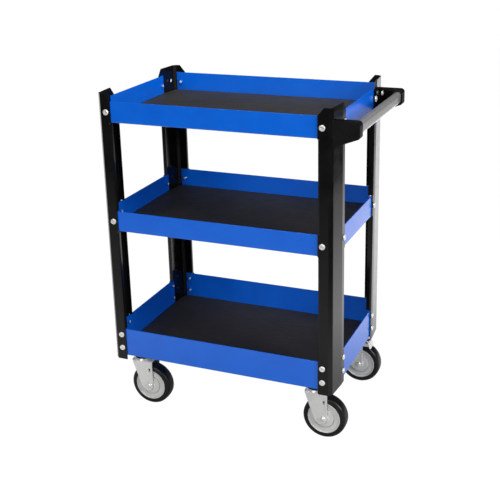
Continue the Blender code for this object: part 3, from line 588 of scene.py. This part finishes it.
def bolt_mesh(name, head_radius, head_height, radius, length):
    """A pan-head bolt: rounded head with a cross recess above z = 0, threaded shank below it."""
    rounding = head_height * HEAD_ROUNDING
    floor = head_height - HEAD_RECESS_DEPTH
    floor_cross = cross(HEAD_RECESS_REACH * RECESS_FLOOR_REACH, HEAD_RECESS_WIDTH * RECESS_FLOOR_WIDTH)
    profile = [(0, floor), (floor_cross, floor), (cross(HEAD_RECESS_REACH, HEAD_RECESS_WIDTH), head_height)]
    profile += arc((head_radius - rounding, head_height - rounding), rounding, 90, 0, 8)
    profile += [(head_radius, HEAD_CHAMFER), (head_radius - HEAD_CHAMFER, 0), (radius, 0)]
    plain = length * PLAIN_SHANK
    profile.append((radius, -plain))
    for i in range(int((length - plain) / THREAD_PITCH)):
        z = -plain - i * THREAD_PITCH
        profile += [(radius - THREAD_DEPTH, z - THREAD_PITCH * THREAD_ROOT),
                    (radius, z - THREAD_PITCH * THREAD_CREST)]
    profile += [(radius - THREAD_DEPTH, -length), (0, -length)]
    mesh = turned_mesh(name, profile, BOLT_STEPS)
    finish_mesh(mesh, "zinc", 40)
    return mesh


def nut_mesh(name, bore, slot):
    """A hexagon nut with turned corners on a round flange, from z = 0 down."""
    corner = NUT_REACH / math.cos(math.pi / 6)
    turned = NUT_REACH * NUT_TURNING
    profile = [
        (bore, 0), (NUT_FLANGE_RADIUS - NUT_EDGE, 0), (NUT_FLANGE_RADIUS, -NUT_EDGE),
        (NUT_FLANGE_RADIUS, -NUT_FLANGE_HEIGHT),
        (corner + NUT_FILLET_REACH, -NUT_FLANGE_HEIGHT - NUT_FILLET_FOOT),
        (hexagon(NUT_REACH, corner), -NUT_FLANGE_HEIGHT - NUT_FILLET_TOP),
    ]
    for share in (1.0, 0.75, 0.5, 0.25, 0):
        limit = turned + (corner - turned) * share
        profile.append((hexagon(NUT_REACH, limit), -NUT_HEIGHT + NUT_CORNER_DROP * share))
    profile += [(bore + NUT_CHAMFER, -NUT_HEIGHT), (bore, -NUT_HEIGHT + NUT_CHAMFER)]
    mesh = turned_mesh(name, profile, BOLT_STEPS, True)
    finish_mesh(mesh, slot, 25)
    return mesh


def facing(place, direction):
    """A matrix that puts local +Z along a direction at a place."""
    turn = Vector((0, 0, 1)).rotation_difference(Vector(direction)).to_matrix().to_4x4()
    return Matrix.Translation(place) @ turn


def bolt_seat(node, axis, head_height):
    """Middle of a bolt node's head seat, and the direction its head faces."""
    low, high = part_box(node)
    seat = (low + high) / 2
    cart_middle = (CX, 0, 0)
    direction = Vector((0, 0, 0))
    direction[axis] = math.copysign(1, seat[axis] - cart_middle[axis])
    outer = high[axis] if direction[axis] > 0 else low[axis]
    seat[axis] = outer - direction[axis] * head_height
    return seat, direction


def add_tray_bolts():
    """Every tray bolt with its nut inside the tray wall, and the bottom tray's lower row."""
    low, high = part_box("top_bolt_front_left_end")
    head_radius = (high.x - low.x) / 2
    length = high.y - low.y - TRAY_HEAD_HEIGHT
    wall = TRAY_LOW.y - low.y - TRAY_HEAD_HEIGHT              # head seat to the wall's outside
    bolt = bolt_mesh("tray_bolt", head_radius, TRAY_HEAD_HEIGHT, TRAY_SHANK_RADIUS, length)
    nut = nut_mesh("tray_nut", TRAY_NUT_BORE, "blue_powder_coat")
    lower_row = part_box("bottom_tray")[0].z + LOWER_BOLT_RISE
    for tray in TRAYS:
        for corner in CORNERS:
            for where, axis in (("end", 1), ("side", 0)):
                node = f"{tray}_bolt_{corner}_{where}"
                seat, direction = bolt_seat(node, axis, TRAY_HEAD_HEIGHT)
                rows = [("", seat, (node,))]
                if tray == "bottom":
                    rows.append(("_lower", Vector((seat.x, seat.y, lower_row)), ()))
                for suffix, place, replaced in rows:
                    label = f"{tray}_{corner}_{where}{suffix}"
                    add_piece(f"bolt_{label}", bolt, "frame", facing(place, direction), replaced)
                    inside = place - direction * (wall + TRAY_SHEET + GAP)
                    add_piece(f"nut_{label}", nut, "frame", facing(inside, direction))


# ---------------------------------------------------------------- handle
def add_bracket(side):
    """A moulded bracket with rounded edges and two shallow upright recesses on the outer face."""
    node = f"handle_bracket_{side}"
    strap_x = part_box("post_front_right")[1].x
    low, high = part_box(node)
    outer = low.y if side == "front" else high.y
    height = (high.z - low.z) * RECESS_HEIGHT
    steps = []
    for start, end in RECESS_PLACES:
        width = end - start
        outline = rounded_rectangle(width, height, width * RECESS_CORNER, 6)
        cutter = extruded_mesh("recess", outline, 2 * RECESS_DEPTH)
        place = Vector((strap_x + (start + end) / 2, outer, high.z - RECESS_TOP - height / 2))
        cutter.transform(Matrix.Translation(place) @ UPRIGHT)
        steps.append(("DIFFERENCE", cutter))
    mesh = with_booleans(clean_copy(node), steps)
    mesh = bevelled(mesh, "black_plastic", BRACKET_EDGE, 3, 30)
    add_piece(f"bracket_moulding_{side}", mesh, "frame", replaced=(node,))


def add_handle_bolt(side):
    node = f"handle_bolt_{side}"
    low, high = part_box(node)
    radius = (high.z - low.z) / 2
    length = high.x - low.x - HANDLE_HEAD_HEIGHT
    seat = (low + high) / 2
    seat.x = high.x - HANDLE_HEAD_HEIGHT
    bolt = bolt_mesh(f"{node}_shape", radius, HANDLE_HEAD_HEIGHT, HANDLE_SHANK_RADIUS, length)
    add_piece(f"handle_screw_{side}", bolt, "frame", facing(seat, (1, 0, 0)), (node,))


def add_tube():
    """Oval handle tube, its wall showing nowhere because both ends stand in sockets."""
    low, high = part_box("handle_tube")
    size = high - low
    outline = rounded_rectangle(size.x, size.z, TUBE_CORNER_RADIUS, 16)
    bore = (size.x - 2 * TUBE_WALL, size.z - 2 * TUBE_WALL)
    hole = rounded_rectangle(*bore, TUBE_CORNER_RADIUS - TUBE_WALL, 16)
    mesh = extruded_mesh("grip_tube", outline, size.y, (hole,))
    mesh.transform(Matrix.Translation((low + high) / 2) @ UPRIGHT)
    finish_mesh(mesh, "aluminium", 40)
    add_piece("grip_tube", mesh, "frame", replaced=("handle_tube",))


def add_handle():
    for side in ("front", "rear"):
        add_bracket(side)
        add_handle_bolt(side)
    add_tube()


# ---------------------------------------------------------------- casters
def mirrored(upper):
    """A section's upper half and its mirror image below."""
    return upper + [(radius, -height) for radius, height in reversed(upper)]


def tyre_profile(inner, outer, half):
    """A tyre's section: dished side wall, moulded ridge, rounded shoulder and crowned tread."""
    ridge = inner + (outer - inner) * RIDGE_PLACE
    side = half - SIDE_WALL_DISH
    upper = [
        (inner, side - TYRE_EDGE), (inner + TYRE_EDGE, side), (ridge - RIDGE_WIDTH, side),
        (ridge - RIDGE_WIDTH / 2, half), (ridge + RIDGE_WIDTH / 2, half),
        (ridge + RIDGE_WIDTH, side - RIDGE_FOOT),
    ]
    upper += arc((outer - SHOULDER_INSET, side - SHOULDER_DROP), SHOULDER_RADIUS, *SHOULDER_SPAN, 10)
    upper += [(outer - drop, half * share) for drop, share in TREAD_CROWN]
    return mirrored(upper)


def hub_profile(rim, half, boss):
    """A hub's section: boss, raised inner disc, deep groove, plain band and raised rim."""
    disc = half - INNER_DISC_DROP
    band = half - BAND_DROP
    upper = [
        (HUB_BORE, boss - HUB_BORE_EDGE), (HUB_BORE + HUB_BORE_EDGE, boss),
        (HUB_BOSS_RADIUS - HUB_EDGE, boss), (HUB_BOSS_RADIUS, boss - HUB_EDGE),
    ]
    upper += [(HUB_BOSS_RADIUS + out, disc + rise) for out, rise in DISC_FILLET]
    upper += [(INNER_DISC_RADIUS - INNER_DISC_EDGE, disc), (INNER_DISC_RADIUS, disc - INNER_DISC_EDGE)]
    floor_start, floor_end, lip = (INNER_DISC_RADIUS + step for step in GROOVE_STEPS)
    upper += [(floor_start, band - GROOVE_DEPTH), (floor_end, band - GROOVE_DEPTH), (lip, band)]
    upper += [(rim - inset, band if drop is None else half - drop) for inset, drop in RIM_STEPS]
    return mirrored(upper)


def add_wheel(corner):
    tyre_low, tyre_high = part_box(f"tyre_{corner}")
    hub_low, hub_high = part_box(f"wheel_hub_{corner}")
    outer = (tyre_high.z - tyre_low.z) / 2
    rim = (hub_high.z - hub_low.z) / 2
    half = (tyre_high.y - tyre_low.y) / 2
    boss = (hub_high.y - hub_low.y) / 2
    matrix = Matrix.Translation((tyre_low + tyre_high) / 2) @ UPRIGHT
    mesh = turned_mesh(f"tyre_shape_{corner}", tyre_profile(rim + GAP, outer, half), ROUND_STEPS, True)
    finish_mesh(mesh, "tyre_rubber", 38)
    add_piece(f"tyre_moulding_{corner}", mesh, f"wheel_{corner}", matrix, (f"tyre_{corner}",))
    mesh = turned_mesh(f"hub_shape_{corner}", hub_profile(rim, half - GAP, boss), ROUND_STEPS, True)
    finish_mesh(mesh, "hub_grey", 38)
    add_piece(f"hub_moulding_{corner}", mesh, f"wheel_{corner}", matrix, (f"wheel_hub_{corner}",))


def axle_profile(end):
    """An axle's section from its front end: domed nut and flange, shank, then flange and hexagon head."""
    seat = end - AXLE_HEAD
    profile = [(0, end)]
    for i in range(1, DOME_STEPS + 1):
        turn = math.radians(90 - 90 / DOME_STEPS * i)
        radius = (AXLE_HEAD_RADIUS - DOME_INSET) * math.cos(turn)
        profile.append((radius, seat + DOME_FOOT + (AXLE_HEAD - DOME_FOOT) * math.sin(turn)))
    reach = (AXLE_HEAD_RADIUS - HEX_INSET) * math.cos(math.pi / 6)
    hexagonal = hexagon(reach, AXLE_HEAD_RADIUS)
    profile += [
        (AXLE_HEAD_RADIUS - AXLE_FLANGE, seat + AXLE_FLANGE + AXLE_FLANGE_EDGE),
        (AXLE_HEAD_RADIUS, seat + AXLE_FLANGE), (AXLE_HEAD_RADIUS, seat),
        (AXLE_RADIUS, seat), (AXLE_RADIUS, -seat),
        (AXLE_HEAD_RADIUS, -seat), (AXLE_HEAD_RADIUS, -seat - AXLE_FLANGE),
        (hexagonal, -seat - HEX_FOOT), (hexagonal, -end + HEX_CHAMFER), (reach * HEX_FACE, -end), (0, -end),
    ]
    return profile


def add_axle(corner):
    node = f"caster_axle_{corner}"
    low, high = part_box(node)
    mesh = turned_mesh(f"axle_shape_{corner}", axle_profile((high.y - low.y) / 2), BOLT_STEPS)
    finish_mesh(mesh, "zinc", 35)
    matrix = Matrix.Translation((low + high) / 2) @ UPRIGHT
    add_piece(f"axle_bolt_{corner}", mesh, f"swivel_{corner}", matrix, (node,))


def add_seal(label, place, height, radius):
    """A dark ring round a ball race, its foot at a place."""
    inner = radius - SEAL_THICKNESS
    edge = radius - SEAL_EDGE
    profile = [(inner, height), (edge, height), (radius, height - SEAL_EDGE_HEIGHT),
               (radius, SEAL_EDGE_HEIGHT), (edge, 0), (inner, 0)]
    mesh = turned_mesh(label, profile, ROUND_STEPS, True)
    finish_mesh(mesh, "black_plastic", 50)
    add_piece(label, mesh, "frame", Matrix.Translation(place))


def add_seals(corner):
    """Dark dust seals above and below the outer ball race."""
    low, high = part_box(f"caster_plate_{corner}")
    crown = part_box(f"caster_fork_{corner}")[1].z
    middle = (low + high) / 2
    sink, height, proud = LOWER_SEAL
    place = (middle.x, middle.y, crown - sink)
    add_seal(f"race_seal_lower_{corner}", place, height, RACE_NECK_RADIUS + proud)
    sink, height, proud = UPPER_SEAL
    place = (middle.x, middle.y, high.z - PLATE_SHEET - sink)
    add_seal(f"race_seal_upper_{corner}", place, height, RACE_RADIUS + proud)


def add_fork_beads(corner, centre):
    """Rounded beads along the rear edges of a fork's arms."""
    axle_low, axle_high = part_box(f"caster_axle_{corner}")
    arm_face = (axle_high.y - axle_low.y) / 2 - AXLE_HEAD - GAP
    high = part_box(f"caster_fork_{corner}")[1]
    top = high.z - FORK_SHEET - FORK_BEND_RADIUS - FORK_BEAD_TOP
    height = top - centre.z - FORK_BEAD_END
    outline = rounded_rectangle(FORK_BEAD_WIDTH, height, FORK_BEAD_WIDTH / FORK_BEAD_ROUNDING, 8)
    for label, way in SIDES.items():
        mesh = extruded_mesh(f"fork_bead_{label}_{corner}", outline, 2 * FORK_BEAD_RISE)
        x = high.x - FORK_BEAD_WIDTH / 2 - FORK_BEAD_INSET
        place = Vector((x, centre.y + way * arm_face, top - height / 2))
        mesh.transform(Matrix.Translation(place) @ UPRIGHT)
        mesh = bevelled(mesh, "zinc", FORK_BEAD_RISE * FORK_BEAD_SOFTENING, 3, 40)
        add_piece(f"fork_bead_{label}_{corner}", mesh, f"swivel_{corner}")


def pedal_mesh(name):
    """A brake pedal's plate with ribs across it, flat in XY."""
    mesh = extruded_mesh(name, rounded_rectangle(PEDAL_WIDTH, PEDAL_HEIGHT, PEDAL_CORNER, 6), PEDAL_SHEET)
    shape = bmesh.new()
    shape.from_mesh(mesh)
    rib = rounded_rectangle(PEDAL_WIDTH * RIB_LENGTH, PEDAL_HEIGHT * RIB_HEIGHT, PEDAL_HEIGHT * RIB_CORNER, 5)
    for share in PEDAL_RIBS:
        ridge = extruded_mesh("rib", rib, PEDAL_SHEET)
        ridge.transform(Matrix.Translation((0, PEDAL_HEIGHT * share, PEDAL_SHEET * RIB_PROUD)))
        shape.from_mesh(ridge)
    shape.to_mesh(mesh)
    shape.free()
    return mesh


def add_brake(corner, centre):
    """A ribbed brake pedal behind the fork's top, on two ears that reach back to the arms."""
    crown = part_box(f"caster_fork_{corner}")[1].z
    mesh = pedal_mesh(f"brake_pedal_{corner}")
    # the outline's X becomes world Y, its Y world Z and its normal world X
    upright = Matrix(((0, 0, 1), (1, 0, 0), (0, 1, 0))).to_4x4()
    place = Vector((centre.x + PEDAL_BACK, centre.y, crown - PEDAL_DROP))
    lean = Matrix.Rotation(math.radians(-PEDAL_LEAN), 4, "Y")
    mesh.transform(Matrix.Translation(place) @ lean @ upright)
    mesh = bevelled(mesh, "zinc", FORK_EDGE, 2, 30)
    add_piece(f"brake_pedal_{corner}", mesh, f"swivel_{corner}")
    root_low, root_high = EAR_ROOT
    tip = [(PEDAL_BACK + x, z) for x, z in EAR_TIP]
    ear = [root_high, *tip, (PEDAL_BACK * EAR_KNEE[0], EAR_KNEE[1]), root_low]
    for label, way in SIDES.items():
        mesh = extruded_mesh(f"brake_ear_{label}_{corner}", ear, PEDAL_SHEET)
        side = Vector((centre.x, centre.y + way * (PEDAL_WIDTH / 2 - EAR_INSET), crown - EAR_DROP))
        mesh.transform(Matrix.Translation(side) @ UPRIGHT)
        mesh = bevelled(mesh, "zinc", FORK_EDGE, 2, 30)
        add_piece(f"brake_ear_{label}_{corner}", mesh, f"swivel_{corner}")


def stud_mesh():
    """A flush-headed stud that holds a caster's plate under the tray."""
    sheet_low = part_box("caster_plate_front_left")[1].z - PLATE_SHEET
    floor_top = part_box("bottom_tray")[0].z + TRAY_SHEET
    length = floor_top - sheet_low + NUT_HEIGHT + STUD_PROUD
    profile = list(STUD_HEAD)
    z = -STUD_NECK
    while z > -length + THREAD_PITCH:
        profile += [(STUD_RADIUS, z), (STUD_ROOT_RADIUS, z - THREAD_PITCH / 2)]
        z -= THREAD_PITCH
    profile += [(STUD_END_RADIUS, -length), (0, -length)]
    mesh = turned_mesh("plate_stud", profile, BOLT_STEPS)
    finish_mesh(mesh, "zinc", 40)
    return mesh


def add_plate_bolts(corner, stud, nut):
    """Four studs through a caster's plate and the bottom tray, with their nuts below the plate."""
    low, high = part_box(f"caster_plate_{corner}")
    middle = (low + high) / 2
    floor_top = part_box("bottom_tray")[0].z + TRAY_SHEET
    nut_top = high.z - PLATE_SHEET - GAP
    for across, sx in (("inner", -1), ("outer", 1)):
        for along, sy in SIDES.items():
            x = middle.x + sx * ((high.x - low.x) / 2 - PLATE_BOLT_INSET)
            y = middle.y + sy * ((high.y - low.y) / 2 - PLATE_BOLT_INSET)
            label = f"{corner}_{across}_{along}"
            add_piece(f"plate_nut_{label}", nut, "frame", Matrix.Translation((x, y, nut_top)))
            add_piece(f"plate_stud_{label}", stud, "frame", Matrix.Translation((x, y, floor_top)))


def add_fork_and_plate(corner):
    softened(f"caster_fork_{corner}", f"fork_pressing_{corner}", "zinc", FORK_EDGE, 2, 24)
    softened(f"caster_plate_{corner}", f"caster_mount_{corner}", "zinc", FORK_EDGE, 2, 24)
    low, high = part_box(f"tyre_{corner}")
    centre = (low + high) / 2
    add_fork_beads(corner, centre)
    if corner.startswith("rear"):
        add_brake(corner, centre)


def add_casters():
    stud = stud_mesh()
    nut = nut_mesh("plate_nut", PLATE_NUT_BORE, "zinc")
    for corner in CORNERS:
        add_fork_and_plate(corner)
        add_plate_bolts(corner, stud, nut)
        add_seals(corner)
        add_axle(corner)
        add_wheel(corner)


# ---------------------------------------------------------------- stage and light
FLOOR_LEFT = -5.0
FLOOR_RIGHT = 1.42          # the paper's edge, off to the right of the view
FLOOR_FRONT = -3.2
FLOOR_REAR = 7.0
FLOOR_GLOW_Y = (-2.6, 1.7, 0.0, 1.8)        # painted light, the floor's glow from front to rear: two places, then the glow there
FLOOR_GLOW_X = (0.65, 1.15, 1.0, 0.35)      # painted light fading towards the right edge: share of it, from the middle to the right edge
FLOOR_PAINTED_SHADOW = (0.25, 0.85, 0.25, 1.0)   # painted shadow under the cart, as a share of the glow, from under the cart outwards
FLOOR_SEEN = 1.0                            # what the camera itself sees
WORLD_REFLECTED = 0.06
WORLD_SEEN = 1.02
SOFTBOXES = {                               # place, size and power
    "softbox_above": ((0.4, -0.6, 2.9), (2.2, 1.8), 42),
    "softbox_right": ((2.8, -0.9, 1.8), (1.4, 1.6), 85),
    "softbox_front": ((-0.6, -3.8, 1.9), (2.2, 1.2), 66),
}
LIGHT_AIM = Vector((CX, 0, 0.5))


def ramp(graph, value, start, end, low, high):
    """A value spread from low to high between two places."""
    node = graph.tree.nodes.new("ShaderNodeMapRange")
    node.inputs["From Min"].default_value = start
    node.inputs["From Max"].default_value = end
    node.inputs["To Min"].default_value = low
    node.inputs["To Max"].default_value = high
    graph.link(value, node.inputs["Value"])
    return node.outputs["Result"]


def add_floor():
    """A pale sheet of paper whose own glow is painted light: stronger towards the rear and weaker at its
    right edge, with a painted shadow under the cart; the camera itself sees an even glow.
    """
    mesh = bpy.data.meshes.new("floor")
    corners = [(FLOOR_LEFT, FLOOR_FRONT), (FLOOR_RIGHT, FLOOR_FRONT), (FLOOR_RIGHT, FLOOR_REAR),
               (FLOOR_LEFT, FLOOR_REAR)]
    mesh.from_pydata([(CX + x, y, 0) for x, y in corners], [], [(0, 1, 2, 3)])
    floor = bpy.data.objects.new("floor", mesh)
    bpy.context.scene.collection.objects.link(floor)
    graph = Graph("floor", (0.05, 0.05, 0.05), 0.9)
    graph.shader.inputs["Specular IOR Level"].default_value = 0.0
    graph.shader.inputs["Emission Color"].default_value = (1, 1, 1, 1)
    split = graph.tree.nodes.new("ShaderNodeSeparateXYZ")
    graph.link(graph.place, split.inputs[0])
    distance = graph.tree.nodes.new("ShaderNodeVectorMath")
    distance.operation = "LENGTH"
    graph.link(graph.place, distance.inputs[0])
    # painted light: the glow grows towards the rear, fades at the right edge and sinks to a painted shadow
    # under the cart
    glow = ramp(graph, split.outputs["Y"], *FLOOR_GLOW_Y)
    for value, places in ((split.outputs["X"], FLOOR_GLOW_X), (distance.outputs["Value"], FLOOR_PAINTED_SHADOW)):
        share = graph.tree.nodes.new("ShaderNodeMath")
        share.operation = "MULTIPLY"
        graph.link(glow, share.inputs[0])
        graph.link(ramp(graph, value, *places), share.inputs[1])
        glow = share.outputs[0]
    path = graph.tree.nodes.new("ShaderNodeLightPath")
    seen = graph.tree.nodes.new("ShaderNodeMix")
    seen.inputs["B"].default_value = FLOOR_SEEN
    graph.link(path.outputs["Is Camera Ray"], seen.inputs["Factor"])
    graph.link(glow, seen.inputs["A"])
    graph.link(seen.outputs["Result"], graph.shader.inputs["Emission Strength"])
    mesh.materials.append(graph.material)


def add_world():
    """White behind the cart, and a dim room for what its surfaces reflect."""
    world = bpy.data.worlds.new("studio")
    world.use_nodes = True
    nodes = world.node_tree.nodes
    links = world.node_tree.links
    background = nodes["Background"]
    path = nodes.new("ShaderNodeLightPath")
    level = nodes.new("ShaderNodeMapRange")
    level.inputs["To Min"].default_value = WORLD_REFLECTED
    level.inputs["To Max"].default_value = WORLD_SEEN
    links.new(path.outputs["Is Camera Ray"], level.inputs["Value"])
    links.new(level.outputs["Result"], background.inputs["Strength"])
    background.inputs["Color"].default_value = (1, 1, 1, 1)
    bpy.context.scene.world = world


def add_softbox(name, place, size, power):
    data = bpy.data.lights.new(name, "AREA")
    data.shape = "RECTANGLE"
    data.size, data.size_y = size
    data.energy = power
    light = bpy.data.objects.new(name, data)
    place = Vector(place)
    light.location = place
    light.rotation_euler = (LIGHT_AIM - place).to_track_quat("-Z", "Y").to_euler()
    bpy.context.scene.collection.objects.link(light)


def add_lights():
    for name, (place, size, power) in SOFTBOXES.items():
        add_softbox(name, place, size, power)


# ---------------------------------------------------------------- build
add_camera()
add_posts()
add_trays()
add_tray_bolts()
add_handle()
add_casters()
add_floor()
add_world()
add_lights()
bpy.context.scene.view_settings.view_transform = "Standard"
bpy.context.scene.view_settings.look = "None"
